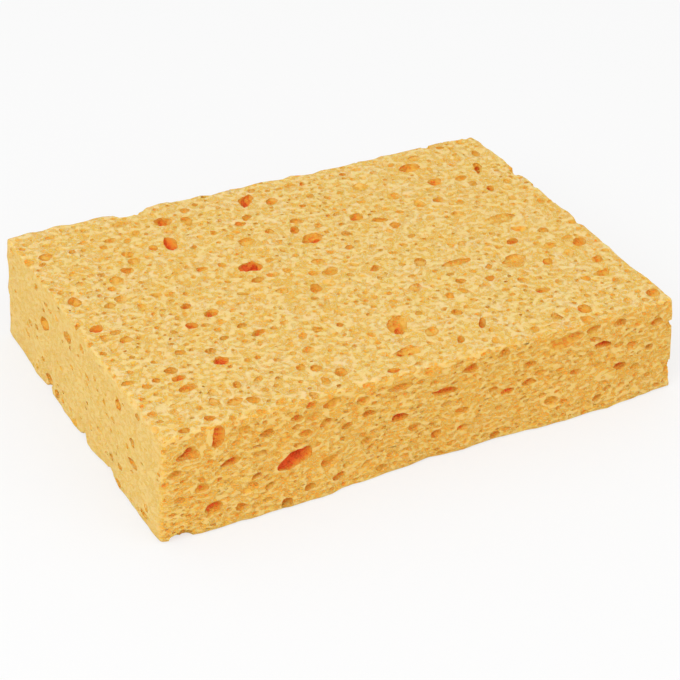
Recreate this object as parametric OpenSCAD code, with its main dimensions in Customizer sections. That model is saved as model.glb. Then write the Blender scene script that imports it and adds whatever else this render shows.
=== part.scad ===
// Household cleaning sponge: one block of foamed cellulose, knife cut from a larger
// slab, with its cells left open on all six faces. It rests on its base, length
// along X, and the origin is the middle of the base.

/* [Block] */
// Length from end to end, at half the height
sponge_l = 151; // [120:1:180]
// Width from front to back, at half the height
sponge_w = 106; // [80:1:130]
// Height of the dry block
sponge_h = 29; // [20:1:40]
// How far each end leans in from the base to the top
end_lean = 2.4; // [0:0.2:4]
// How far the two long sides lean back from the base to the top
side_lean = 2.6; // [0:0.2:4]
// Radius of the four upright corners
corner_r = 2.5; // [1:0.5:5]
// Width of the worn bevel along the top and base edges
edge_bevel = 0.9; // [0.4:0.1:1.5]
// How far the knife strayed from a straight line along the long sides
side_stray = 0.6; // [0:0.1:1]
// How far the knife strayed along the ends
end_stray = 0.5; // [0:0.1:1]

/* [Scattered pores] */
// Spacing of the scattered pores in the top
top_pitch = 7.2; // [7:0.2:14]
// Spacing of the scattered pores in the base
base_pitch = 10; // [7:0.2:14]
// Spacing of the scattered pores along the four walls
wall_pitch = 7; // [6.8:0.2:14]
// Spacing of the rows of pores up the walls
row_pitch = 5.4; // [4.6:0.2:9]
// Width of the smallest scattered pore
pore_min = 1.8; // [1.4:0.1:2.2]
// Width of the largest scattered pore in the top and base
pore_max = 5.2; // [3:0.1:6]
// Height of the largest scattered pore in the walls
wall_pore_max = 3.6; // [3:0.1:3.8]
// Length of the larger scattered pores in the walls, as a multiple of their height
wall_pore_stretch = 1.6; // [1.4:0.1:1.7]
// Depth of a scattered pore as a share of its width
pore_depth = 0.38; // [0.25:0.01:0.45]
// Least foam left between one scattered pore and the next
cell_wall = 0.5; // [0.3:0.1:1]

/* [Hidden] */

sponge_colour = "#E8C274";
knife_step = 6;      // between the points of a knife line
overrun = 6;         // how far a cut runs on past a corner
blank_margin = 3;    // how far the uncut blank reaches past the finished walls
top_margin = 4;      // from the top's or base's rim to the scattered pores
wall_margin = 3;     // from a wall's upper or lower edge to the scattered pores
round_up_to = 2.4;   // a wall pore no higher than this is left round
lobe_step = 0.62;    // between the lobes of a long pore, as a share of its width
pore_facets = 24;
corner_turns = [15, 35, 60];

// Waves in a knife line: wavelength, phase in degrees, share of the stray
side_waves = [[47, 20, 0.6], [23, 130, 0.3], [11, 60, 0.2]];
end_waves = [[38, 75, 0.6], [17, 10, 0.4]];

// The walls: heading of the outward side, distance from the middle, length, lean
// towards the middle, stray and waves
back = [0, sponge_w / 2, sponge_l, -side_lean, side_stray, side_waves];
front = [180, sponge_w / 2, sponge_l, side_lean, side_stray, side_waves];
left = [90, sponge_l / 2, sponge_w, end_lean, end_stray, end_waves];
right = [-90, sponge_l / 2, sponge_w, end_lean, end_stray, end_waves];

// The pores that stand out, chosen by eye. In the top: percent of the length and of
// the width, then length, width, depth and the long axis's turn in degrees
top_pores = [
  [27, 81, 6.4, 3.4, 2.8, 84], [36.5, 61.5, 6.2, 5.2, 3.4, 25], [16.5, 73, 4.2, 3.8, 2, 0],
  [3.8, 65, 5.2, 3.6, 1.8, 80], [4, 50.5, 3.4, 3, 2, 0], [19, 42, 3.4, 3, 2.2, 0],
  [24, 46, 4.6, 3.4, 2.4, 30], [18.5, 25, 4.2, 3.8, 3, 60], [10, 22, 3.4, 3, 2.2, 0],
  [29.5, 92, 5.6, 4.4, 2.2, 80], [46.5, 92, 7, 4, 2.2, 60], [50, 73, 4.2, 3.4, 2.2, 70],
  [51.5, 66.5, 6.2, 4.6, 2.2, 20], [63, 72.5, 4.4, 3.8, 2, 0], [83, 80.5, 4.8, 4, 2.4, 0],
  [81.5, 90.5, 6.2, 4.2, 2, 10], [94, 82, 6, 3, 2.2, 62], [92, 70.5, 3, 2.4, 2.2, 0],
  [65, 44, 6.2, 5, 1.8, 70], [71, 39, 7.6, 2.8, 1.6, 0], [84.5, 43, 4.6, 2.8, 2, 15],
  [95.5, 35, 3.8, 3.4, 2, 0], [81, 33, 7, 6.6, 1.8, 0], [44, 44.5, 3.8, 3.2, 2, 0],
  [51, 20.5, 9, 6.2, 3, 75], [62, 18.5, 3.4, 3, 1.8, 0], [65, 11, 4.2, 2.4, 2, 60],
  [48, 8.5, 6, 4, 2.2, 0], [83, 7, 4.2, 3.2, 2, 70], [5, 87, 3.6, 3, 1.8, 0]
];
// In the front and in the left end: percent of the wall's length from its left, and
// of the height, then length, height and depth
front_pores = [
  [10, 86, 4.4, 4, 2.6], [4.8, 76, 6, 3.2, 2.2], [23.5, 47, 8.2, 4.2, 3.6], [12, 59, 5, 2, 1.6],
  [16.5, 41, 3.2, 2, 1.6], [9, 24, 4.4, 2.8, 2], [43, 56, 4.6, 2.2, 1.8], [52, 69, 6.2, 2.2, 1.6],
  [44, 86, 7, 2.4, 1.6], [57, 85, 5, 2.6, 1.8], [84.5, 72, 6, 2.2, 1.8], [88.5, 43, 5, 2.6, 2],
  [65, 50, 3.4, 2.2, 1.6], [51, 26, 3.8, 2.6, 1.8], [31, 88, 5, 2.4, 1.6], [76, 85, 9, 3.4, 1.6]
];
left_pores = [[26, 62, 4.2, 3.6, 2], [41, 79, 4.4, 2.4, 1.6], [74, 78, 4.4, 3, 2], [84, 44, 4.2, 2.2, 1.6]];

// Where an edge has crumbled: wall, side of the wall (1 its top edge, -1 its base
// edge), percent along it from its left, half length and depth
crumbled = [
  [back, 1, 74.5, 5, 2.2], [back, 1, 44, 3.5, 1], [back, 1, 12, 4, 0.9], [front, -1, 4.5, 2.6, 2.2],
  [front, -1, 21.5, 2.4, 1.6], [front, -1, 51, 4, 1.2], [front, -1, 80, 4, 1], [right, 1, 76, 3.2, 1.4],
  [right, 1, 44, 3.2, 1.4], [left, -1, 30, 3, 1.2], [left, -1, 53, 3, 1.3], [left, -1, 72, 3, 1.1],
  [back, -1, 33, 4, 1.4], [back, -1, 68, 3, 1.2], [right, -1, 25, 3, 1.3]
];
// Where the upright corner between the front and the right end has crumbled:
// percent of the height, half length and depth
corner_crumbs = [[72, 2.4, 1.6], [22, 3.2, 1.9]];

function total(v, i = 0) = i < len(v) ? v[i] + total(v, i + 1) : 0;
function stray_at(wall, u) =
  wall[4] * total([for (w = wall[5]) w[2] * sin(360 * u / w[0] + w[1])]);
function out_at(wall, u, z) = wall[1] + stray_at(wall, u) - wall[3] * (z / sponge_h - 0.5);
function mix(lo, hi, t) = lo + (hi - lo) * t;

// The line that the knife took along a wall: it strays a little, and curls in
// round the corner at both ends
function knife_line(wall) =
  let (flat = wall[2] / 2 - corner_r, n = ceil(2 * flat / knife_step), turn = max(corner_turns),
       curl = [for (a = corner_turns) [flat + corner_r * sin(a), corner_r * (cos(a) - 1)]],
       last = curl[len(curl) - 1],
       tail = concat(curl, [[last[0] + overrun, last[1] - overrun * tan(turn)]]))
  concat([for (i = [len(tail) - 1 : -1 : 0]) [-tail[i][0], tail[i][1]]],
         [for (i = [0 : n]) let (u = flat * (2 * i / n - 1)) [u, stray_at(wall, u)]],
         tail);

// Turns its children so that +Y points out of a wall and X runs along it
module at_wall(wall) {
  rotate(wall[0]) children();
}

// Puts its children on a wall, u along it and z up it, with +Z pointing outwards
module on_wall(wall, u, z) {
  at_wall(wall) translate([u, out_at(wall, u, z), z]) rotate([-90, 0, 0]) children();
}

// The waste that the knife took off outside a wall
module wall_cut(wall) {
  line = knife_line(wall);
  reach = line[len(line) - 1][0];
  at_wall(wall) translate([0, wall[1], sponge_h / 2]) rotate([atan(wall[3] / sponge_h), 0, 0])
    linear_extrude(height = 2 * sponge_h, center = true)
      polygon(concat(line, [[reach, sponge_h], [-reach, sponge_h]]));
}

// The bevel that wear leaves along a wall's top edge (side 1) or base edge (side -1)
module edge_wear(wall, side) {
  at_wall(wall) translate([0, out_at(wall, 0, sponge_h * (1 + side) / 2), sponge_h * (1 + side) / 2])
    rotate([45 * side - 90, 0, 0]) translate([-wall[2], -4 * edge_bevel, -edge_bevel / 2])
      cube([2 * wall[2], 8 * edge_bevel, 4 * edge_bevel]);
}

// A round hollow of half width a and depth d in the plane z = 0
module dish(a, d) {
  r = (a * a + d * d) / (2 * d);
  translate([0, 0, r - d]) sphere(r, $fn = pore_facets);
}

// A pore l long and w wide: one round cell, or a row of cells run together, of
// which the middle one is the largest
module pore(l, w, d, turn = 0) {
  n = max(1, ceil((l - w) / (lobe_step * w) - 0.2) + 1);
  rotate(turn)
    for (i = [0 : n - 1]) {
      share = i == floor(n / 2) ? 1 : 0.85;
      translate([n > 1 ? (l - w) * (i / (n - 1) - 0.5) : 0, 0, 0]) dish(share * w / 2, share * d);
    }
}

// Would a pore l by w at a spot touch a listed one, each given as [x, y, l, w]?
function taken(x, y, l, w, list) =
  len([for (p = list) if (abs(p[0] - x) < (p[2] + l) / 2 + cell_wall
                       && abs(p[1] - y) < (p[3] + w) / 2 + cell_wall) 1]) > 0;

// Round pores strewn over a field l long and w wide, one to a space, each moved
// about in its space as far as its neighbours allow
module strewn(l, w, pitch_x, pitch_y, largest, seed, kept_clear) {
  nx = floor(l / pitch_x);
  ny = floor(w / pitch_y);
  dice = rands(0, 1, 3 * nx * ny, seed);
  for (i = [0 : nx - 1], j = [0 : ny - 1]) {
    k = 3 * (i * ny + j);
    size = mix(pore_min, largest, pow(dice[k], 1.8));
    x = (i + 0.5 - nx / 2) * pitch_x + (dice[k + 1] - 0.5) * (pitch_x - size - cell_wall);
    y = (j + 0.5 - ny / 2) * pitch_y + (dice[k + 2] - 0.5) * (pitch_y - size - cell_wall);
    if (!taken(x, y, size, size, kept_clear))
      translate([x, y, 0]) dish(size / 2, pore_depth * size);
  }
}

module block() {
  difference() {
    translate([-sponge_l / 2 - blank_margin, -sponge_w / 2 - blank_margin, 0])
      cube([sponge_l + 2 * blank_margin, sponge_w + 2 * blank_margin, sponge_h]);
    for (wall = [back, front, left, right]) {
      wall_cut(wall);
      for (side = [1, -1]) edge_wear(wall, side);
    }
  }
}

module top_cells() {
  spots = [for (p = top_pores) [(p[0] / 100 - 0.5) * sponge_l, (p[1] / 100 - 0.5) * sponge_w, p[2], p[2]]];
  translate([0, 0, sponge_h]) {
    for (i = [0 : len(top_pores) - 1])
      translate([spots[i][0], spots[i][1], 0])
        pore(top_pores[i][2], top_pores[i][3], top_pores[i][4], top_pores[i][5]);
    strewn(sponge_l - 2 * top_margin, sponge_w - 2 * top_margin, top_pitch, top_pitch, pore_max, 11, spots);
  }
}

module base_cells() {
  rotate([180, 0, 0])
    strewn(sponge_l - 2 * top_margin, sponge_w - 2 * top_margin, base_pitch, base_pitch, pore_max, 23, []);
}

module wall_cells(wall, pores, seed) {
  spots = [for (p = pores) [(p[0] / 100 - 0.5) * wall[2], (p[1] / 100 - 0.5) * sponge_h, p[2], p[3]]];
  nu = floor((wall[2] - 2 * top_margin) / wall_pitch);
  nz = floor((sponge_h - 2 * wall_margin) / row_pitch);
  dice = rands(0, 1, 3 * nu * nz, seed);
  // Seen from outside, a wall's left is at +X of its frame
  for (i = [0 : 1 : len(pores) - 1])
    on_wall(wall, -spots[i][0], sponge_h / 2 + spots[i][1]) pore(pores[i][2], pores[i][3], pores[i][4]);
  for (i = [0 : nu - 1], j = [0 : nz - 1]) {
    k = 3 * (i * nz + j);
    high = mix(pore_min, wall_pore_max, pow(dice[k], 1.8));
    long = high > round_up_to ? wall_pore_stretch * high : high;
    u = (i + 0.5 - nu / 2) * wall_pitch + (dice[k + 1] - 0.5) * (wall_pitch - long - cell_wall);
    v = (j + 0.5 - nz / 2) * row_pitch + (dice[k + 2] - 0.5) * (row_pitch - high - cell_wall);
    if (!taken(-u, v, long, high, spots))
      on_wall(wall, u, sponge_h / 2 + v) pore(long, high, pore_depth * high);
  }
}

module crumbled_edges() {
  for (c = crumbled) {
    u = (0.5 - c[2] / 100) * c[0][2];
    z = sponge_h * (1 + c[1]) / 2;
    on_wall(c[0], u, z) rotate([c[1] * 45, 0, 0]) dish(c[3], c[4]);
  }
  for (c = corner_crumbs) {
    z = c[0] / 100 * sponge_h;
    translate([out_at(right, sponge_w / 2, z), -out_at(front, -sponge_l / 2, z), z])
      rotate([90, 0, 45]) dish(c[1], c[2]);
  }
}

module sponge() {
  color(sponge_colour) difference() {
    block();
    top_cells();
    base_cells();
    wall_cells(front, front_pores, 31);
    wall_cells(back, [], 43);
    wall_cells(left, left_pores, 57);
    wall_cells(right, [], 61);
    crumbled_edges();
  }
}

sponge();
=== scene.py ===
import math
import time

import bpy
import numpy as np
from mathutils import Matrix, Vector


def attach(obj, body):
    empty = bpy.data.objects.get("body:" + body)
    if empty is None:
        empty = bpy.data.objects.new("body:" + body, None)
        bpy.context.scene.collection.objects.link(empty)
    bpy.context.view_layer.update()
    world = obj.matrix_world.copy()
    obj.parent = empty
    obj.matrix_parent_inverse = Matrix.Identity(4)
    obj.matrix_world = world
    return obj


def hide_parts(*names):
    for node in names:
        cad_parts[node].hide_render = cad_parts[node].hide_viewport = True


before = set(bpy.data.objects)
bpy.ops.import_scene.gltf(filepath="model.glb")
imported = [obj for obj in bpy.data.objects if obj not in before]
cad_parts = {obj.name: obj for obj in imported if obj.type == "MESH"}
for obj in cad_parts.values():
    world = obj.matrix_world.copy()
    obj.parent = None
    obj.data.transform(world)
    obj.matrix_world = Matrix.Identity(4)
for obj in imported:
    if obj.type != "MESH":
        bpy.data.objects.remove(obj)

started = time.time()
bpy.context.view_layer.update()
mm = 0.001  # lengths and places below are in mm, and this turns them into metres


def report(words):
    print("sponge:", words, round(time.time() - started, 1), "s")


# The camera stands where the photograph was taken from, front left and above
cameraSet = {
    "place": (-221.1, -395.1, 298.7),  # from the middle of the base
    "right": (0.87909, -0.47588, 0.02731),  # which way the picture's right and down point
    "down": (-0.23817, -0.48814, -0.83964),
    "lens": 102.35,
    "sensor": 36,
}


def addCamera():
    lens = bpy.data.cameras.new("photoCamera")
    lens.lens = cameraSet["lens"]
    lens.sensor_width = cameraSet["sensor"]
    camera = bpy.data.objects.new("photoCamera", lens)
    bpy.context.scene.collection.objects.link(camera)
    right = Vector(cameraSet["right"]).normalized()
    up = -Vector(cameraSet["down"])
    up = (up - right * up.dot(right)).normalized()
    turn = Matrix((right, up, right.cross(up))).transposed().to_4x4()
    turn.translation = Vector(cameraSet["place"]) * mm
    camera.matrix_world = turn
    bpy.context.scene.camera = camera


def linear(hexColour):
    parts = [int(hexColour[i:i + 2], 16) / 255 for i in (1, 3, 5)]
    return [c / 12.92 if c <= 0.04045 else ((c + 0.055) / 1.055) ** 2.4 for c in parts] + [1.0]


def addNode(tree, kind, settings):
    # another node's output is linked, and any other value is set
    node = tree.nodes.new(kind)
    for key, value in settings.items():
        if isinstance(value, bpy.types.NodeSocket):
            tree.links.new(value, node.inputs[key])
        elif isinstance(key, int) or key in node.inputs:
            node.inputs[key].default_value = value
        else:
            setattr(node, key, value)
    return node


# Four knife cuts made the walls. Each has a line at the top and one at the base:
# mm along the wall from the middle, then mm outwards from the wall's own place
blockSet = {
    "height": 29.0,
    "roughSize": (76, 53),  # half length and half width before the walls are given their lines
    "across": (64, 46, 12),  # faces of the grid along the length, the width and the height
    "crowd": 0.4,  # how far the grid crowds towards the rims, from 0 to 0.5
    "cornerRadius": 1.0,
    "rimRadius": 0.75,
    "rimSpread": 0.42,  # how much more or less of the rim is worn away here and there
    "rimWaves": 6,  # mm from one worn stretch to the next
    "rimLimits": (0.2, 0.9),
    "ripple": 0.16,  # how far the knife strayed
    "rippleWaves": 7,
    "rippleEnd": 9,  # the higher, the sooner the ripple dies away below the surface
    "leftEdge": -75.3,  # where the lists of cells below start to measure
    "frontEdge": -52.5,
    "walls": {
        "front": {
            "top": (51.8, [(-76, -0.2), (-62, -0.1), (-26, -0.2), (2, 0.5), (25, 0.8), (50, 1.0),
                           (76, 0.9)]),
            "base": (54.3, [(-77, -0.4), (-66, 0.5), (-45, 0.7), (-33, 0.8), (-24, -0.5), (-8, -1.0),
                            (0, -1.8), (10, -0.7), (16, -1.4), (26, -1.0), (36, 0), (56, -0.1),
                            (67, -0.9), (77, -1.6)]),
        },
        "back": {
            "top": (54.3, [(-76, 0.7), (-64, 1.6), (-50, 1.0), (-30, 0.7), (-12, -0.5), (5, -0.2),
                           (23, -1.1), (40, -0.8), (65, -0.8), (76, -1.8)]),
            "base": (51.7, [(-77, 0.2), (-40, 0.5), (-10, -0.4), (20, 0.3), (50, -0.5), (77, -0.6)]),
        },
        "left": {
            "top": (74.4, [(-53, 0.3), (-35, 0.2), (-3, 0.1), (15, -0.3), (54, 0.1)]),
            "base": (76.9, [(-54, 0.2), (-27, 0.4), (-21, -0.5), (-9, 0.4), (-4, -0.5), (1, 0.4),
                            (18, -0.1), (21, -0.6), (28, 0), (52, -0.6)]),
        },
        "right": {
            "top": (75.0, [(-53, -0.2), (-37, 0.1), (-20, 0.4), (-3, 1.2), (10, 0.7), (35, 1.3),
                           (54, 0.8)]),
            "base": (77.0, [(-54, 0.2), (-30, -0.3), (-8, 0.2), (14, -0.4), (34, 0.2), (52, -0.2)]),
        },
    },
}

# Unevenness is a sum of waves, each of its own length, and total brings it to about 1
waveSet = {"count": 6, "lengths": (0.6, 1.4), "total": 2.4}


def smoothLine(points, u):
    places, offsets = np.array(points, float).T
    k = np.clip(np.searchsorted(places, u) - 1, 0, len(places) - 2)
    t = np.clip((u - places[k]) / (places[k + 1] - places[k]), 0, 1)
    return offsets[k] + (offsets[k + 1] - offsets[k]) * t * t * (3 - 2 * t)


# How far a wall lies from the middle, for arrays u along it and z up it
def wallOut(side, u, z):
    wall = blockSet["walls"][side]
    low = wall["base"][0] + smoothLine(wall["base"][1], u)
    high = wall["top"][0] + smoothLine(wall["top"][1], u)
    return low + (high - low) * np.clip(z / blockSet["height"], 0, 1)


def deselectAll():
    if bpy.context.object and bpy.context.object.mode != "OBJECT":
        bpy.ops.object.mode_set(mode="OBJECT")
    bpy.ops.object.select_all(action="DESELECT")


def selectOnly(piece):
    deselectAll()
    bpy.context.view_layer.objects.active = piece
    piece.select_set(True)


def readPoints(piece):
    points = np.empty(len(piece.data.vertices) * 3, np.float32)
    piece.data.vertices.foreach_get("co", points)
    return points.reshape(-1, 3).astype(float) / mm


def writePoints(piece, points):
    piece.data.vertices.foreach_set("co", (points * mm).astype(np.float32).ravel())
    piece.data.update()


def writeNumbers(data, name, domain, numbers):
    field = data.attributes.get(name) or data.attributes.new(name, "FLOAT", domain)
    field.data.foreach_set("value", np.asarray(numbers, np.float32))


def waves(points, size, rng):
    height = 0
    for wave in range(waveSet["count"]):
        direction = rng.normal(size=3)
        direction *= 2 * math.pi / (size * rng.uniform(*waveSet["lengths"]) * np.linalg.norm(direction))
        height = height + np.sin(points @ direction + rng.uniform(0, 2 * math.pi))
    return height / waveSet["total"]


# Rounds the four upright corners, then wears down the rims at the top and base
def roundOff(points, rng):
    height, corner = blockSet["height"], blockSet["cornerRadius"]
    tiny = 1e-9
    x, y, z = points.T
    left, right = -wallOut("left", y, z), wallOut("right", y, z)
    front, back = -wallOut("front", x, z), wallOut("back", x, z)
    inset = np.minimum(np.minimum(x - left, right - x), np.minimum(y - front, back - y))
    # a square of side cornerRadius in each corner becomes a quarter of a disc
    offX = x - np.clip(x, left + corner, right - corner)
    offY = y - np.clip(y, front + corner, back - corner)
    far = np.hypot(offX, offY)
    shrink = np.where(far > 0, np.maximum(abs(offX), abs(offY)) / np.maximum(far, tiny), 1)
    outX = np.where(far > 0, offX / np.maximum(far, tiny), 0)
    outY = np.where(far > 0, offY / np.maximum(far, tiny), 0)
    x, y = x + offX * (shrink - 1), y + offY * (shrink - 1)
    # the same upright, between each wall and the top or base
    worn = blockSet["rimRadius"] * (1 + blockSet["rimSpread"] * waves(points, blockSet["rimWaves"], rng))
    worn = np.clip(worn, *blockSet["rimLimits"])
    below = np.minimum(z, height - z)
    offOut, offUp = np.clip(worn - inset, 0, None), np.clip(worn - below, 0, None)
    far = np.hypot(offOut, offUp)
    shrink = np.where(far > 0, np.maximum(offOut, offUp) / np.maximum(far, tiny), 1) - 1
    x, y = x + outX * offOut * shrink, y + outY * offOut * shrink
    z = z + np.sign(z - height / 2) * offUp * shrink
    return np.stack([x, y, z], 1)


# A plain box, subdivided and pushed out to the four walls, with worn edges
def makeBlock(rng):
    deselectAll()
    height, across = blockSet["height"], blockSet["across"]
    bpy.ops.mesh.primitive_grid_add(x_subdivisions=across[0], y_subdivisions=across[1], size=2,
                                    location=(0, 0, 0))
    block = bpy.context.object
    block.name = "spongeBlock"
    bpy.ops.object.mode_set(mode="EDIT")
    for level in range(across[2]):
        bpy.ops.mesh.extrude_region_move(TRANSFORM_OT_translate={"value": (0, 0, 2 / across[2])})
    bpy.ops.object.mode_set(mode="OBJECT")
    share = readPoints(block) * mm - (0, 0, 1)  # each from -1 to 1
    share = share * (1 + blockSet["crowd"]) - share ** 3 * blockSet["crowd"]
    x, y = share[:, 0] * blockSet["roughSize"][0], share[:, 1] * blockSet["roughSize"][1]
    z = (share[:, 2] + 1) / 2 * height
    for turn in range(2):  # each pair of walls depends a little on the other
        left, right = -wallOut("left", y, z), wallOut("right", y, z)
        front, back = -wallOut("front", x, z), wallOut("back", x, z)
        x = left + (right - left) * (share[:, 0] + 1) / 2
        y = front + (back - front) * (share[:, 1] + 1) / 2
    points = roundOff(np.stack([x, y, z], 1), rng)
    # the knife left a slight ripple everywhere but on the base, which lies flat
    unevenness = blockSet["ripple"] * waves(points, blockSet["rippleWaves"], rng)
    points[:, 0] += unevenness * share[:, 0] ** blockSet["rippleEnd"]
    points[:, 1] += unevenness * share[:, 1] ** blockSet["rippleEnd"]
    points[:, 2] += unevenness * np.clip(share[:, 2], 0, 1) ** blockSet["rippleEnd"]
    writePoints(block, points)
    return block


# Cells that stand out in the photograph, listed. In the top: mm from the left
# and front edges, then length, width and depth, turn in degrees and redness
topCells = [
    (40.5, 85.5, 6.6, 3.4, 3.2, 84, 0.95), (55, 64.5, 6.4, 5.4, 3.8, 25, 1.0),
    (24.5, 77, 4.4, 3.8, 2.0, 0, 0.55), (5, 68, 5.4, 3.8, 1.9, 80, 0.5),
    (5.5, 53, 3.4, 2.9, 2.6, 20, 0.95), (30.5, 53.5, 3.0, 2.6, 2.2, 0, 0.7),
    (28, 44, 3.4, 3.0, 2.6, 40, 0.95), (35.5, 47.5, 4.8, 3.6, 2.4, 30, 0.7),
    (28, 26.5, 4.4, 3.8, 3.6, 60, 1.0), (15, 23.5, 3.4, 2.8, 2.6, 0, 0.9),
    (15.5, 18, 4.0, 3.2, 1.8, 0, 0.5), (14.5, 4.5, 2.6, 2.2, 2.2, 0, 0.8),
    (7, 2.5, 3.0, 2.4, 1.8, 0, 0.6), (23, 8, 4.2, 3.2, 1.6, 0, 0.45), (44, 97, 5.6, 4.6, 2.2, 80, 0.6),
    (50, 95, 5.0, 3.2, 1.6, 80, 0.4), (70, 97.5, 7.4, 4.2, 2.4, 60, 0.75),
    (66, 89, 3.4, 2.6, 1.8, 40, 0.6), (77, 94.5, 4.4, 3.4, 1.8, 60, 0.5),
    (75, 76.8, 4.4, 3.4, 2.4, 60, 0.75), (77.5, 70.5, 6.4, 4.8, 2.2, 20, 0.65),
    (94.5, 76, 4.6, 3.8, 2.2, 0, 0.6), (99.5, 71.5, 4.2, 3.0, 1.8, 0, 0.5),
    (102.5, 67, 3.4, 3.0, 1.6, 0, 0.4), (125.5, 84.5, 4.8, 4.0, 2.6, 0, 0.6),
    (123.5, 95, 6.4, 4.2, 2.0, 10, 0.55), (146, 95, 4.6, 3.0, 2.0, 75, 0.55),
    (142, 87, 6.4, 3.0, 2.2, 62, 0.6), (138.5, 74, 3.0, 2.4, 2.6, 70, 0.9),
    (104, 91.5, 5.6, 5.0, 1.3, 0, 0.3), (98, 46, 6.4, 5.2, 1.8, 70, 0.3),
    (107, 41.5, 8.2, 2.8, 1.5, 0, 0.35), (127.5, 45, 4.6, 2.6, 2.2, 15, 0.8),
    (138.5, 46.5, 3.2, 2.8, 1.7, 60, 0.5), (144.2, 36.5, 4.0, 3.5, 2.2, 30, 0.6),
    (136, 38.5, 3.4, 3.2, 1.6, 0, 0.4), (122, 34.5, 7.4, 6.8, 1.7, 0, 0.3),
    (111, 30.5, 2.8, 2.2, 1.8, 40, 0.7), (66, 46.5, 4.2, 3.2, 2.0, 60, 0.7),
    (43, 69, 3.4, 3.0, 1.8, 0, 0.6), (42, 33.5, 4.2, 2.2, 1.7, 20, 0.6),
    (76.8, 21.5, 9.4, 6.2, 2.2, 75, 0.4), (93.5, 19.5, 3.6, 3.2, 2.0, 0, 0.55),
    (83, 14, 4.6, 4.0, 1.6, 30, 0.35), (97, 12, 4.4, 2.2, 2.0, 62, 0.7),
    (72.5, 9, 6.8, 4.2, 1.9, 0, 0.45), (52.5, 8, 4.2, 3.2, 1.9, 75, 0.5),
    (64.5, 3, 3.8, 1.8, 2.0, 0, 0.85), (47.5, 6.5, 3.2, 2.2, 1.6, 75, 0.5),
    (44.5, 14.5, 3.2, 2.2, 1.6, 75, 0.5), (56.5, 28, 3.4, 3.0, 1.6, 0, 0.4),
    (63, 27.5, 3.2, 2.2, 1.8, 60, 0.65), (103, 32.5, 3.4, 2.6, 1.7, 0, 0.5),
    (125, 6, 4.2, 3.2, 1.9, 70, 0.6), (147, 5, 4.4, 3.2, 1.6, 20, 0.4),
    (120.5, 19, 3.8, 2.6, 1.8, 0, 0.6), (140.5, 20, 5.6, 3.2, 1.7, 0, 0.45),
    (130.5, 57.5, 9.4, 4.8, 1.3, 0, 0.25), (84.5, 61.5, 3.4, 3.0, 1.7, 0, 0.5),
    (73, 58.5, 4.8, 3.2, 1.4, 0, 0.3), (73.5, 52.5, 4.2, 3.8, 1.6, 0, 0.4),
    (53.5, 57, 3.4, 3.0, 1.7, 0, 0.45), (13, 62.5, 3.4, 2.6, 1.5, 0, 0.35),
    (26, 62, 2.6, 2.2, 1.5, 0, 0.4), (20, 34, 3.4, 2.6, 1.4, 0, 0.3), (7, 93, 4.2, 3.4, 1.6, 30, 0.4),
    (40, 38, 3.0, 2.6, 1.6, 0, 0.45), (33, 35, 2.6, 2.2, 1.6, 0, 0.5), (26, 94, 3.4, 2.8, 1.5, 0, 0.35),
    (34.5, 95, 3.0, 2.4, 1.5, 70, 0.4), (6.5, 23.5, 3.0, 2.6, 1.5, 0, 0.4),
    (134, 83, 3.6, 2.6, 1.6, 20, 0.4), (122, 65, 4.0, 3.4, 1.4, 0, 0.3),
    (60, 77, 4.6, 4.0, 1.3, 0, 0.3), (88, 8, 3.0, 2.2, 1.6, 60, 0.5),
]
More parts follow.
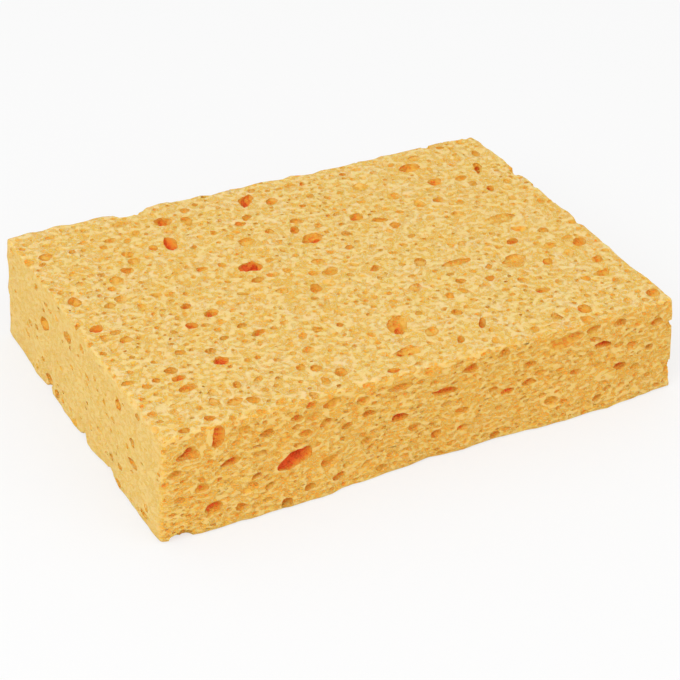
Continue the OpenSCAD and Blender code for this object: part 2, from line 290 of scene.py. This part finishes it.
# In the front: mm from the left edge and above the base, length, height, depth, turn
# and redness
frontCells = [
    (15, 25.8, 4.4, 6.0, 2.8, 0, 0.75), (7, 23.2, 6.2, 3.6, 2.0, 8, 0.55),
    (35.5, 13.6, 8.6, 4.4, 4.4, 16, 1.0), (17.5, 17.8, 5.4, 2.0, 2.2, 4, 0.8),
    (24.5, 12, 3.6, 1.9, 2.2, 8, 0.85), (13, 7, 4.8, 2.9, 2.4, 10, 0.7),
    (32.5, 1.6, 4.0, 3.0, 3.0, 0, 0.8), (65.5, 16.3, 5.0, 2.3, 2.4, -6, 0.85),
    (78.5, 20, 6.8, 2.2, 2.2, -4, 0.85), (66, 25, 7.4, 2.2, 1.8, 0, 0.55),
    (86, 25, 5.4, 2.6, 2.4, 4, 0.75), (127.5, 21, 6.4, 2.1, 2.6, 2, 0.95),
    (133.5, 12.6, 5.6, 2.6, 2.4, -4, 0.75), (98, 14.5, 3.6, 2.1, 2.0, -8, 0.8),
    (104.5, 15.5, 4.4, 2.2, 1.8, 0, 0.6), (93.5, 16.5, 3.2, 1.8, 1.8, 0, 0.75),
    (46.5, 26, 5.4, 2.6, 1.8, 4, 0.5), (60.5, 2.6, 4.4, 2.6, 2.2, 0, 0.5),
    (47.5, 4.5, 3.8, 2.2, 2.0, 0, 0.7), (39, 4.2, 3.2, 2.0, 1.8, 0, 0.6),
    (77, 7.5, 4.2, 2.6, 2.2, 0, 0.75), (85, 7.5, 3.6, 1.8, 1.8, 0, 0.65),
    (115, 25.4, 10, 3.8, 1.7, 2, 0.45), (124, 26.6, 5.0, 2.6, 1.6, 0, 0.4),
    (133, 26.5, 4.6, 2.2, 1.6, 0, 0.5), (143.5, 15.5, 3.6, 2.2, 1.8, 0, 0.5),
    (139, 10.5, 3.6, 2.2, 1.8, 0, 0.5), (127, 4.5, 3.2, 1.8, 1.6, 0, 0.7),
    (95, 1.6, 3.2, 2.0, 1.8, 0, 0.6), (28, 23, 4.0, 2.2, 1.8, 4, 0.5),
    (50.5, 18.5, 3.8, 2.1, 1.7, 4, 0.6), (10, 12.8, 4.0, 2.4, 1.8, 10, 0.6),
    (3, 18.5, 3.6, 2.4, 1.6, 0, 0.4), (55, 24, 4.2, 2.4, 1.8, 0, 0.45),
    (36.5, 24.5, 3.4, 2.0, 1.6, 0, 0.5), (44, 21, 3.6, 2.0, 1.6, 10, 0.5),
    (22, 25.5, 3.2, 2.0, 1.6, 0, 0.5), (26, 18, 3.8, 2.2, 1.6, 4, 0.45),
    (45, 10, 4.2, 2.4, 1.8, 8, 0.5), (56, 12, 3.8, 2.2, 1.7, 6, 0.5), (70, 12, 4.0, 2.2, 1.7, 0, 0.5),
    (84, 13, 4.4, 2.4, 1.8, 0, 0.55), (112, 8, 4.0, 2.2, 1.7, 0, 0.5), (105, 21, 4.6, 2.2, 1.7, 0, 0.5),
    (119, 15, 4.2, 2.2, 1.7, -4, 0.5), (145, 23, 4.2, 2.4, 1.7, 0, 0.45),
    (137, 18, 4.0, 2.2, 1.6, 0, 0.45), (96, 27, 4.2, 2.2, 1.6, 0, 0.4),
    (20, 4.5, 3.6, 2.2, 1.8, 0, 0.5), (28, 8, 3.4, 2.0, 1.6, 10, 0.45), (57, 20, 3.6, 2.0, 1.6, 0, 0.5),
]
# In the left end: mm from the front edge and above the base, and the rest as in the front
leftCells = [
    (78.5, 18, 4.4, 4.0, 2.0, 0, 0.5), (61.5, 23, 4.6, 2.3, 1.6, 0, 0.45),
    (27.5, 23, 4.8, 3.2, 2.2, 8, 0.6), (16.5, 12.5, 4.8, 2.0, 1.6, 6, 0.45),
    (17.5, 18, 3.4, 2.2, 1.6, 0, 0.4), (73, 3, 5.2, 3.0, 1.8, 0, 0.4),
    (85, 25.5, 2.8, 1.8, 1.4, 0, 0.4), (52, 25, 3.0, 2.0, 1.4, 0, 0.35),
    (67, 2, 3.4, 2.4, 1.8, 0, 0.45), (24, 1.5, 3.0, 2.0, 1.6, 0, 0.5),
    (30, 5.5, 3.4, 2.2, 1.4, 0, 0.35), (88, 12.5, 3.2, 1.8, 1.4, 0, 0.35),
]

# Where the rims and an upright corner have crumbled: place from the middle of the
# base, the way out and along, half length, width and depth, and redness
biteList = [
    ((-37.5, 56.0, 29.0), (0, 1, 0.8), (1, 0, 0), (5.2, 3.2, 3.4), 0.25),
    ((-9, 55.2, 29.2), (0, 1, 1), (1, 0, 0), (3.4, 2.4, 1.9), 0.25),
    ((76.6, 27.6, 29.2), (1, 0, 1), (0, 1, 0), (2.9, 2.4, 2.0), 0.3),
    ((76.4, -5.8, 29.2), (1, 0, 1), (0, 1, 0), (2.7, 2.2, 1.9), 0.3),
    ((-71.5, -54.6, 0), (0, -1, -0.8), (1, 0, 0), (2.9, 2.4, 2.6), 0.45),
    ((75.4, -52.9, 20.9), (1, -1, 0), (0, 0, 1), (1.2, 2.6, 1.8), 0.4),
    ((76.2, -53.4, 6.4), (1, -1, 0), (0, 0, 1), (2.2, 2.8, 1.9), 0.4),
    ((-77.0, 20.5, 0), (-1, 0, -1), (0, 1, 0), (2.2, 1.8, 1.6), 0.3),
    ((-77.0, -4, 0), (-1, 0, -1), (0, 1, 0), (2.2, 1.6, 1.6), 0.3),
    ((-77.0, -21, 0), (-1, 0, -1), (0, 1, 0), (2.4, 1.6, 1.6), 0.3),
]

# Cells inside cells. Size, aside and deep are shares of the outer cell's width,
# length and depth
innerSet = {
    "leastDepth": 1.9,  # mm, of a cell that has them
    "clear": 4.5,  # mm from the face's edges
    "size": (0.34, 0.62),
    "aside": (0.12, 0.26),
    "deep": (0.6, 0.8),
    "stretch": 1.3,
    "flat": 0.5,
    "redder": 0.2,
}

cellSet = {
    "seed": 7,
    "details": {"large": (22, 5), "middling": (14, 3), "small": (9, 2), "tiny": (6, 2)},  # segments, rings
    "largeFrom": 5.5,  # mm long
    # smallest and largest length in mm, how many at most on each face, and the detail
    "classes": [
        (2.9, 4.4, {"top": 70, "base": 50, "front": 24, "back": 40, "left": 8, "right": 28}, "middling"),
        (1.9, 2.9, {"top": 290, "base": 130, "front": 170, "back": 110, "left": 40, "right": 80}, "small"),
        (1.2, 1.9, {"top": 700, "base": 130, "front": 480, "back": 150, "left": 100, "right": 110}, "tiny"),
    ],
    "openTiny": {"left": 4},  # only one in so many of a face's tiny cells is open
    "smaller": 1.5,  # above 1, each class has more of its smaller cells
    "margin": 0.25,  # the wall left between two cells
    "tries": 14,
    "slim": {"flat": (0.62, 1.0), "wall": (0.42, 0.62)},  # width as a share of length
    "depth": {"flat": (0.26, 0.55), "wall": (0.34, 0.62)},  # as a share of width
    "lean": (3, 9),  # usual turn in a wall and its spread, in degrees
    "redness": (2.0, 3.2),  # the beta curve's two powers: most cells are golden, few are red
    "halfLength": 75.5,  # cells are strewn as far as this
    "halfWidth": 52.5,
    "flatReach": (-52.5, 53.5),
    "wallReach": (0.6, 28.6),
    # a bowl: wider than its cell, its middle below the skin, and its depth, as shares
    "wider": 1.03,
    "sunk": 0.12,
    "deep": 0.75,
    "coneHeight": 3,  # in half axes, well clear of the face
    # the unevenness of a bowl's wall, less of it upright, and what a point may reach
    "uneven": 0.18,
    "finer": 0.8,
    "waveLengths": (4, 1.9),  # in half lengths of the cell
    "upright": 0.35,
    "jagged": 0.07,
    "swellLimits": (0.68, 1.34),
}

softSet = {"factor": 0.3, "times": 1, "sharpFrom": math.radians(42)}


# One of the six faces: places u and v along it, and the way out of it
class Face:
    def __init__(self, side):
        self.side = side
        self.isFlat = side in ("top", "base")
        self.kind = "flat" if self.isFlat else "wall"
        alongLength = side not in ("left", "right")
        self.halfU = cellSet["halfLength"] if alongLength else cellSet["halfWidth"]
        self.lowV, self.highV = cellSet["flatReach"] if self.isFlat else cellSet["wallReach"]
        ways = {"top": (0, 0, 1), "base": (0, 0, -1), "front": (0, -1, 0), "back": (0, 1, 0),
                "left": (-1, 0, 0), "right": (1, 0, 0)}
        self.out = Vector(ways[side])
        self.alongU = Vector((1, 0, 0)) if alongLength else Vector((0, 1, 0))
        self.alongV = Vector((0, 1, 0)) if self.isFlat else Vector((0, 0, 1))

    def at(self, u, v):
        if self.side == "top":
            return Vector((u, v, blockSet["height"]))
        if self.side == "base":
            return Vector((u, v, 0))
        out = float(wallOut(self.side, np.array([u]), np.array([v]))[0])
        return self.alongU * u + self.alongV * v + self.out * out


# Cells as (u, v, length, width, depth, turn, redness, detail), none touching another
def strewCells(face, listed, rng):
    slim, sunken = cellSet["slim"][face.kind], cellSet["depth"][face.kind]
    cells = [cell + ("middling" if cell[2] < cellSet["largeFrom"] else "large",) for cell in listed]
    most = len(cells) + sum(group[2][face.side] for group in cellSet["classes"])
    taken = np.zeros((most, 4))
    for k, cell in enumerate(cells):
        taken[k] = cell[:4]
    touching = 0.5
    for smallest, largest, counts, detail in cellSet["classes"]:
        for n in range(counts[face.side]):
            for attempt in range(cellSet["tries"]):
                u, v = rng.uniform(-face.halfU, face.halfU), rng.uniform(face.lowV, face.highV)
                length = smallest + (largest - smallest) * rng.random() ** cellSet["smaller"]
                width = length * rng.uniform(*slim)
                near = taken[:len(cells)]
                reachU = near[:, 2] + length
                reachV = reachU if face.isFlat else near[:, 3] + width
                room = np.hypot((near[:, 0] - u) / reachU, (near[:, 1] - v) / reachV)
                if len(near) and room.min() < touching + cellSet["margin"] / (length + 1):
                    continue
                depth = width * rng.uniform(*sunken)
                turn = rng.uniform(0, 180) if face.isFlat else rng.normal(*cellSet["lean"])
                red = float(rng.beta(*cellSet["redness"]))
                taken[len(cells)] = (u, v, length, width)
                cells.append((u, v, length, width, depth, turn, red, detail))
                break
    return cells


# The points and faces of half a ball that opens upwards, closed by a tall cone
def bowlTemplate(segments, rings):
    points, corners = [(0, 0, -1)], []
    for ring in range(1, rings + 1):
        polar = math.pi / 2 * ring / rings
        for k in range(segments):
            turn = 2 * math.pi * (k + ring / 2) / segments
            points.append((math.sin(polar) * math.cos(turn), math.sin(polar) * math.sin(turn),
                           -math.cos(polar)))
    points.append((0, 0, cellSet["coneHeight"]))
    for k in range(segments):
        after = (k + 1) % segments
        corners.append((0, 1 + after, 1 + k))
        for ring in range(rings - 1):
            low, high = 1 + ring * segments, 1 + (ring + 1) * segments
            corners.append((low + k, low + after, high + k))
            corners.append((low + after, high + after, high + k))
        last = 1 + (rings - 1) * segments
        corners.append((last + k, last + after, len(points) - 1))
    return np.array(points), np.array(corners)


# A bowl's three half axes, the last pointing out of the face
def bowlAxes(face, length, width, depth, turn):
    a = math.radians(turn)
    along = face.alongU * math.cos(a) + face.alongV * math.sin(a)
    across = face.out.cross(along)
    return np.array((along * length / 2, across * width / 2, face.out * depth))


# A bowl for each cell, as (middle, half axes, redness, detail), cut open by its face
def openCells(faces, cells):
    bowls = []
    for face in faces:
        for k, (u, v, length, width, depth, turn, red, detail) in enumerate(cells[face.side]):
            if detail == "tiny" and k % cellSet["openTiny"].get(face.side, 1):
                continue
            middle = np.array(face.at(u, v) - face.out * depth * cellSet["sunk"])
            axes = bowlAxes(face, length * cellSet["wider"], width * cellSet["wider"],
                            depth * cellSet["deep"], turn)
            bowls.append((middle, axes, red, detail))
    return bowls


# Small cells that open off the floor of the large ones
def innerCells(faces, cells, rng):
    bowls = []
    for face in faces:
        for u, v, length, width, depth, turn, red, detail in cells[face.side]:
            nearEdge = min(v - face.lowV, face.highV - v) < innerSet["clear"]
            if depth < innerSet["leastDepth"] or detail != "large" or nearEdge:
                continue
            for side in (-1, 1):
                size = width * rng.uniform(*innerSet["size"])
                push = side * length * rng.uniform(*innerSet["aside"])
                a = math.radians(turn)
                inside = face.at(u + push * math.cos(a), v + push * math.sin(a))
                middle = np.array(inside - face.out * depth * rng.uniform(*innerSet["deep"]))
                axes = bowlAxes(face, size * innerSet["stretch"], size, size * innerSet["flat"], turn)
                bowls.append((middle, axes, min(1, red + innerSet["redder"]), "small"))
    return bowls


# Bowls turned outwards across the rims and corners, where they have crumbled
def bites():
    bowls = []
    for place, outwards, along, size, red in biteList:
        out = Vector(outwards).normalized()
        ahead = Vector(along)
        across = out.cross(ahead)
        axes = np.array((ahead * size[0], across * size[1], out * size[2]))
        bowls.append((np.array(place, float), axes, red, "large"))
    return bowls


def makeCutter(templates, bowls, rng):
    allPoints, allFaces, allReds, count = [], [], [], 0
    broad, narrow = cellSet["waveLengths"]
    for middle, axes, red, detail in bowls:
        points, corners = templates[detail]
        flat = points * (1, 1, cellSet["upright"])
        lumps = waves(flat, broad, rng) + cellSet["finer"] * waves(flat, narrow, rng)
        swell = 1 + cellSet["uneven"] * lumps
        swell = swell + rng.normal(0, cellSet["jagged"], len(points))
        swell = np.clip(swell, *cellSet["swellLimits"])
        swell[-1] = 1  # the cone's tip stays
        allPoints.append(middle + points * swell[:, None] @ axes)
        allFaces.append(corners + count)
        allReds.append(np.full(len(corners), red))
        count += len(points)
    data = bpy.data.meshes.new("cells")
    data.from_pydata(np.concatenate(allPoints) * mm, [], np.concatenate(allFaces).tolist())
    writeNumbers(data, "redness", "FACE", np.concatenate(allReds))
    cutter = bpy.data.objects.new("cells", data)
    bpy.context.scene.collection.objects.link(cutter)
    return cutter


def cutAway(block, cutter):
    selectOnly(block)
    cut = block.modifiers.new("cells", "BOOLEAN")
    cut.operation = "DIFFERENCE"
    cut.solver = "MANIFOLD"
    cut.object = cutter
    bpy.ops.object.modifier_apply(modifier=cut.name)
    bpy.data.objects.remove(cutter)


# How far inside the six faces each point lies, in mm
def writeDepths(block):
    x, y, z = readPoints(block).T
    depths = [z, blockSet["height"] - z, wallOut("left", y, z) + x, wallOut("right", y, z) - x,
              wallOut("front", x, z) + y, wallOut("back", x, z) - y]
    writeNumbers(block.data, "cellDepth", "POINT", np.clip(np.min(depths, axis=0), 0, None))


def countTriangles(block):
    return sum(len(face.vertices) - 2 for face in block.data.polygons)


# Keeps the block and deletes what the cells cut loose
def dropCrumbs(block):
    selectOnly(block)
    bpy.ops.mesh.separate(type="LOOSE")
    pieces = sorted(bpy.context.selected_objects, key=lambda piece: len(piece.data.vertices))
    for crumb in pieces[:-1]:
        bpy.data.objects.remove(crumb)
    report("%d crumbs dropped" % (len(pieces) - 1))
    return pieces[-1]


# Takes the sharpness off the cells' rims
def soften(block):
    selectOnly(block)
    ease = block.modifiers.new("ease", "SMOOTH")
    ease.factor = softSet["factor"]
    ease.iterations = softSet["times"]
    bpy.ops.object.modifier_apply(modifier=ease.name)
    bpy.ops.object.shade_smooth_by_angle(angle=softSet["sharpFrom"])


def makeSponge():
    rng = np.random.default_rng(cellSet["seed"])
    block = makeBlock(rng)
    writeNumbers(block.data, "redness", "FACE", np.zeros(len(block.data.polygons)))
    report("block made with %d faces" % len(block.data.polygons))
    faces = {side: Face(side) for side in ("top", "base", "front", "back", "left", "right")}
    listed = {side: [] for side in faces}
    leftEdge, frontEdge = blockSet["leftEdge"], blockSet["frontEdge"]
    listed["top"] = [(cell[0] + leftEdge, cell[1] + frontEdge, *cell[2:]) for cell in topCells]
    listed["front"] = [(cell[0] + leftEdge, *cell[1:]) for cell in frontCells]
    listed["left"] = [(cell[0] + frontEdge, *cell[1:]) for cell in leftCells]
    cells = {side: strewCells(faces[side], listed[side], rng) for side in faces}
    report("cells strewn: " + ", ".join("%s %d" % (side, len(some)) for side, some in cells.items()))
    templates = {detail: bowlTemplate(*shape) for detail, shape in cellSet["details"].items()}
    for pair in (("top", "base"), ("front", "back"), ("left", "right")):
        cutAway(block, makeCutter(templates, openCells([faces[side] for side in pair], cells), rng))
    report("cells cut, %d faces" % len(block.data.polygons))
    for bowls in (bites(), innerCells(faces.values(), cells, rng)):
        cutAway(block, makeCutter(templates, bowls, rng))
    report("edges crumbled, %d triangles" % countTriangles(block))
    block = dropCrumbs(block)
    writeDepths(block)
    soften(block)
    report("softened, %d triangles" % countTriangles(block))
    return block


# Foamed cellulose, dyed yellow, knife-cut and dry: matt and palest on the threads between
# the cells. Inside the cells and small hollows it is deeper in colour: painted shade and a painted warm
# glow stand in for light that has gone round inside them
materialSet = {
    "ridge": "#EDD593",
    "flat": "#E9C474",
    "golden": "#EBB84A",
    "orange": "#F6A63C",
    "red": "#F87234",
    "pale": "#ECD6AC",  # where fibres have dried on the skin
    "stops": (("ridge", 0.08), ("flat", 0.24), ("golden", 0.45), ("orange", 0.72), ("red", 1.0)),
    "flatten": (1, 1, 1.7),  # cells lie flat, so the pattern is squeezed upright
    "wander": (1.43, 0.9),  # mm across, and how far the pattern strays from even
    # small cells: mm across, mm from one open patch to the next, the share that is
    # closed, and how much of the pattern they are
    "pits": ((2.3, 3.1, 0.45, 0.24), (0.95, 1.6, 0.39, 0.66)),
    "pitWall": (0.03, 0.15),  # from the middle of a thread to the hollow beside it
    "pitFade": 0.16,
    "grain": 0.357,  # mm, the threads' own roughness
    # how the cells' painted shade and warm glow grow with depth
    "fullShadeDepth": 3.6,  # mm, where a cell is at its darkest
    "depthCurve": 0.7,
    "hueCurve": 1.7,
    "depthShade": (0.85, 0.12),  # for a red cell, and for any cell
    "anyCellShade": 0.07,  # for the least deep ones too
    "cellEdge": 0.06,  # the redness from which a face is wholly inside a cell
    # how much each of these deepens the tone: in the hollows it is painted shade and warm glow of the small
    # cells, in the grain the threads' own uneven colour, and facing the front, back or left end deepens it
    # a little
    "hollowShade": 0.44,
    "grainTone": 0.34,
    "sidewaysTone": 0.075,
    "leftTone": 0.04,
    # the front shows its pattern more than the top does, and the left end less; the left end's cells also
    # get less of their painted shade and glow
    "frontHollow": 0.22,
    "leftHollow": -0.5,
    "leftCellShade": -0.3,
    "driedPatches": (6.25, 0.44, 0.68),  # mm across, and where the noise starts and ends
    "driedUpTo": 0.6,
    "bump": (-0.5, 0.25),  # of the hollows and of the grain
    "bumpStrength": 0.8,
    "finish": {"Roughness": 0.92, "Specular IOR Level": 0.2, "Subsurface Weight": 0.35,
               "Subsurface Radius": (1.0, 0.45, 0.15), "Subsurface Scale": 2.5 * mm},
}


# 1 inside an open small cell, 0 on the threads between them and where they are closed
def finePits(tree, place, across, patch, closed):
    threads = addNode(tree, "ShaderNodeTexVoronoi", {
        "feature": "DISTANCE_TO_EDGE", "Scale": 1 / across, "Vector": place})
    spread = addNode(tree, "ShaderNodeTexNoise", {"Scale": 1 / patch, "Detail": 0, "Vector": place})
    thin, thick = materialSet["pitWall"]
    inside = addNode(tree, "ShaderNodeMapRange", {
        "interpolation_type": "SMOOTHSTEP", "From Min": thin, "From Max": thick,
        "Value": threads.outputs["Distance"]})
    opened = addNode(tree, "ShaderNodeMapRange", {
        "interpolation_type": "SMOOTHSTEP", "From Min": closed, "From Max": closed + materialSet["pitFade"],
        "Value": spread.outputs["Fac"]})
    both = addNode(tree, "ShaderNodeMath", {
        "operation": "MULTIPLY", 0: inside.outputs["Result"], 1: opened.outputs["Result"]})
    return both.outputs[0]


# Places in mm, squeezed upright and made to wander
def patternPlaces(tree):
    here = addNode(tree, "ShaderNodeTexCoord", {})
    inMm = addNode(tree, "ShaderNodeMapping", {
        "Scale": [share / mm for share in materialSet["flatten"]], "Vector": here.outputs["Object"]})
    inMm = inMm.outputs[0]
    across, far = materialSet["wander"]
    wander = addNode(tree, "ShaderNodeTexNoise", {"Scale": 1 / across, "Detail": 2, "Vector": inMm})
    away = addNode(tree, "ShaderNodeVectorMath", {
        "operation": "SUBTRACT", 0: wander.outputs["Color"], 1: (0.5, 0.5, 0.5)})
    place = addNode(tree, "ShaderNodeVectorMath", {
        "operation": "MULTIPLY_ADD", 0: away.outputs[0], 1: (far, far, far), 2: inMm})
    return inMm, place.outputs[0]


# Painted shade and warm glow inside a cell: darker and redder the deeper it lies and the higher its own
# redness, and a little deeper in tone in any cell
def paintedCellShade(tree):
    depth = addNode(tree, "ShaderNodeAttribute", {"attribute_name": "cellDepth"}).outputs["Fac"]
    red = addNode(tree, "ShaderNodeAttribute", {"attribute_name": "redness"}).outputs["Fac"]
    inCell = addNode(tree, "ShaderNodeMapRange", {
        "interpolation_type": "SMOOTHSTEP", "From Min": 0.0,
        "From Max": materialSet["cellEdge"], "Value": red})
    deep = addNode(tree, "ShaderNodeMath", {
        "operation": "DIVIDE", "use_clamp": True, 0: depth, 1: materialSet["fullShadeDepth"]}).outputs[0]
    deep = addNode(tree, "ShaderNodeMath", {
        "operation": "POWER", 0: deep, 1: materialSet["depthCurve"]}).outputs[0]
    hue = addNode(tree, "ShaderNodeMath", {
        "operation": "POWER", 0: red, 1: materialSet["hueCurve"]}).outputs[0]
    redTone, anyTone = materialSet["depthShade"]
    most = addNode(tree, "ShaderNodeMath", {
        "operation": "MULTIPLY_ADD", 0: hue, 1: redTone, 2: anyTone}).outputs[0]
    cellShade = addNode(tree, "ShaderNodeMath", {"operation": "MULTIPLY", 0: deep, 1: most}).outputs[0]
    return addNode(tree, "ShaderNodeMath", {
        "operation": "MULTIPLY_ADD", 0: inCell.outputs["Result"], 1: materialSet["anyCellShade"],
        2: cellShade}).outputs[0]


def addMaterial(block):
    material = bpy.data.materials.new("foamedCellulose")
    material.use_nodes = True
    tree = material.node_tree
    tree.nodes.clear()
    inMm, place = patternPlaces(tree)
    grain = addNode(tree, "ShaderNodeTexNoise", {
        "Scale": 1 / materialSet["grain"], "Detail": 2, "Roughness": 0.7, "Vector": inMm}).outputs["Fac"]
    # painted shade and warm glow inside the cells
    cellShade = paintedCellShade(tree)
    normal = addNode(tree, "ShaderNodeNewGeometry", {}).outputs["Normal"]
    facing = addNode(tree, "ShaderNodeSeparateXYZ", {0: normal})
    sideways = addNode(tree, "ShaderNodeMath", {"operation": "ABSOLUTE", 0: facing.outputs["Y"]}).outputs[0]
    leftEnd = addNode(tree, "ShaderNodeMath", {
        "operation": "MULTIPLY", "use_clamp": True, 0: facing.outputs["X"], 1: -1}).outputs[0]

    hollow = 0
    for across, patch, closed, weight in materialSet["pits"]:
        pits = finePits(tree, place, across, patch, closed)
        hollow = addNode(tree, "ShaderNodeMath", {
            "operation": "MULTIPLY_ADD", 0: pits, 1: weight, 2: hollow}).outputs[0]
    # each way of facing strengthens or weakens what the pattern and the cells' painted shade show
    for way, share in ((leftEnd, materialSet["leftHollow"]), (sideways, materialSet["frontHollow"])):
        change = addNode(tree, "ShaderNodeMath", {"operation": "MULTIPLY_ADD", 0: way, 1: share, 2: 1})
        hollow = addNode(tree, "ShaderNodeMath", {
            "operation": "MULTIPLY", 0: hollow, 1: change.outputs[0]}).outputs[0]
    change = addNode(tree, "ShaderNodeMath", {
        "operation": "MULTIPLY_ADD", 0: leftEnd, 1: materialSet["leftCellShade"], 2: 1})
    tone = addNode(tree, "ShaderNodeMath", {
        "operation": "MULTIPLY", 0: cellShade, 1: change.outputs[0]}).outputs[0]
    # the hollows deepen the tone as painted shade and warm glow inside the small cells
    for source, weight in ((hollow, "hollowShade"), (grain, "grainTone"),
                           (sideways, "sidewaysTone"), (leftEnd, "leftTone")):
        tone = addNode(tree, "ShaderNodeMath", {
            "operation": "MULTIPLY_ADD", 0: source, 1: materialSet[weight], 2: tone}).outputs[0]

    ramp = addNode(tree, "ShaderNodeValToRGB", {"Fac": tone})
    stops = materialSet["stops"]
    while len(ramp.color_ramp.elements) < len(stops):
        ramp.color_ramp.elements.new(0.5)
    for element, (name, position) in zip(ramp.color_ramp.elements, stops):
        element.position = position
        element.color = linear(materialSet[name])
    across, start, end = materialSet["driedPatches"]
    patches = addNode(tree, "ShaderNodeTexNoise", {
        "Scale": 1 / across, "Detail": 4, "Roughness": 0.7, "Vector": place})
    patches = addNode(tree, "ShaderNodeMapRange", {
        "interpolation_type": "SMOOTHSTEP", "From Min": start, "From Max": end,
        "Value": patches.outputs["Fac"]})
    upwards = addNode(tree, "ShaderNodeMath", {
        "operation": "MULTIPLY", "use_clamp": True, 0: patches.outputs["Result"], 1: facing.outputs["Z"]})
    skin = addNode(tree, "ShaderNodeMath", {
        "operation": "SUBTRACT", "use_clamp": True, 0: materialSet["driedUpTo"], 1: tone})
    dried = addNode(tree, "ShaderNodeMath", {
        "operation": "MULTIPLY", 0: upwards.outputs[0], 1: skin.outputs[0]})
    colour = addNode(tree, "ShaderNodeMix", {
        "data_type": "RGBA", 0: dried.outputs[0], 6: ramp.outputs["Color"], 7: linear(materialSet["pale"])})

    height = 0
    for source, weight in zip((hollow, grain), materialSet["bump"]):
        height = addNode(tree, "ShaderNodeMath", {
            "operation": "MULTIPLY_ADD", 0: source, 1: weight, 2: height}).outputs[0]
    bump = addNode(tree, "ShaderNodeBump", {
        "Strength": materialSet["bumpStrength"], "Distance": mm, "Height": height})
    shader = addNode(tree, "ShaderNodeBsdfPrincipled", {
        "Base Color": colour.outputs[2], "Normal": bump.outputs["Normal"], **materialSet["finish"]})
    addNode(tree, "ShaderNodeOutputMaterial", {"Surface": shader.outputs["BSDF"]})
    block.data.materials.clear()
    block.data.materials.append(material)
    report("material made")


stageSet = {
    "floorSize": 6,  # m
    "floorDrop": 0.2 * mm,
    "floorGrey": 0.8,
    "shadow": 0.35,  # how much of the shadow the camera sees on the white floor
    "world": 0.85,
    # name, place in m, power in watts, size in m
    "lamps": (("key", (-0.9, -0.6, 1.0), 9, 1.0), ("fill", (0.6, -1.1, 0.6), 3, 1.0)),
    "lampsAim": (0, 0, 0.01),
}


# 1 for what the camera sees itself, in a mirror or through glass
def seenDirectly(tree):
    path = addNode(tree, "ShaderNodeLightPath", {})
    either = addNode(tree, "ShaderNodeMath", {
        "operation": "ADD", 0: path.outputs["Is Camera Ray"], 1: path.outputs["Is Glossy Ray"]})
    return addNode(tree, "ShaderNodeMath", {
        "operation": "ADD", "use_clamp": True, 0: either.outputs[0],
        1: path.outputs["Is Transmission Ray"]}).outputs[0]


def floorMaterial():
    material = bpy.data.materials.new("paleFloor")
    material.use_nodes = True
    tree = material.node_tree
    tree.nodes.clear()
    grey = stageSet["floorGrey"]
    lit = addNode(tree, "ShaderNodeBsdfDiffuse", {"Color": (grey, grey, grey, 1)})
    white = addNode(tree, "ShaderNodeEmission", {"Color": (1, 1, 1, 1), "Strength": 1.0})
    share = addNode(tree, "ShaderNodeMath", {
        "operation": "MULTIPLY", 0: seenDirectly(tree), 1: 1 - stageSet["shadow"]})
    mixed = addNode(tree, "ShaderNodeMixShader", {
        0: share.outputs[0], 1: lit.outputs[0], 2: white.outputs[0]})
    addNode(tree, "ShaderNodeOutputMaterial", {"Surface": mixed.outputs[0]})
    return material


def addStage():
    bpy.ops.mesh.primitive_plane_add(size=stageSet["floorSize"], location=(0, 0, -stageSet["floorDrop"]))
    floor = bpy.context.object
    floor.name = "floor"
    floor.data.materials.append(floorMaterial())
    world = bpy.data.worlds.new("studio")
    bpy.context.scene.world = world
    world.use_nodes = True
    tree = world.node_tree
    strength = addNode(tree, "ShaderNodeMath", {
        "operation": "MULTIPLY_ADD", 0: seenDirectly(tree), 1: 1 - stageSet["world"], 2: stageSet["world"]})
    background = tree.nodes["Background"]
    background.inputs["Color"].default_value = (1, 1, 1, 1)
    tree.links.new(strength.outputs[0], background.inputs["Strength"])
    for name, place, energy, size in stageSet["lamps"]:
        lamp = bpy.data.lights.new(name, "AREA")
        lamp.energy = energy
        lamp.size = size
        holder = bpy.data.objects.new(name, lamp)
        bpy.context.scene.collection.objects.link(holder)
        holder.location = place
        holder.rotation_mode = "QUATERNION"
        ahead = Vector(stageSet["lampsAim"]) - Vector(place)
        holder.rotation_quaternion = ahead.to_track_quat("-Z", "Y")
    report("stage set")


addCamera()
block = makeSponge()
addMaterial(block)
addStage()
bpy.context.scene.view_settings.view_transform = "Standard"
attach(block, "root")
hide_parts("sponge")
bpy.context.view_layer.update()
report("scene made")
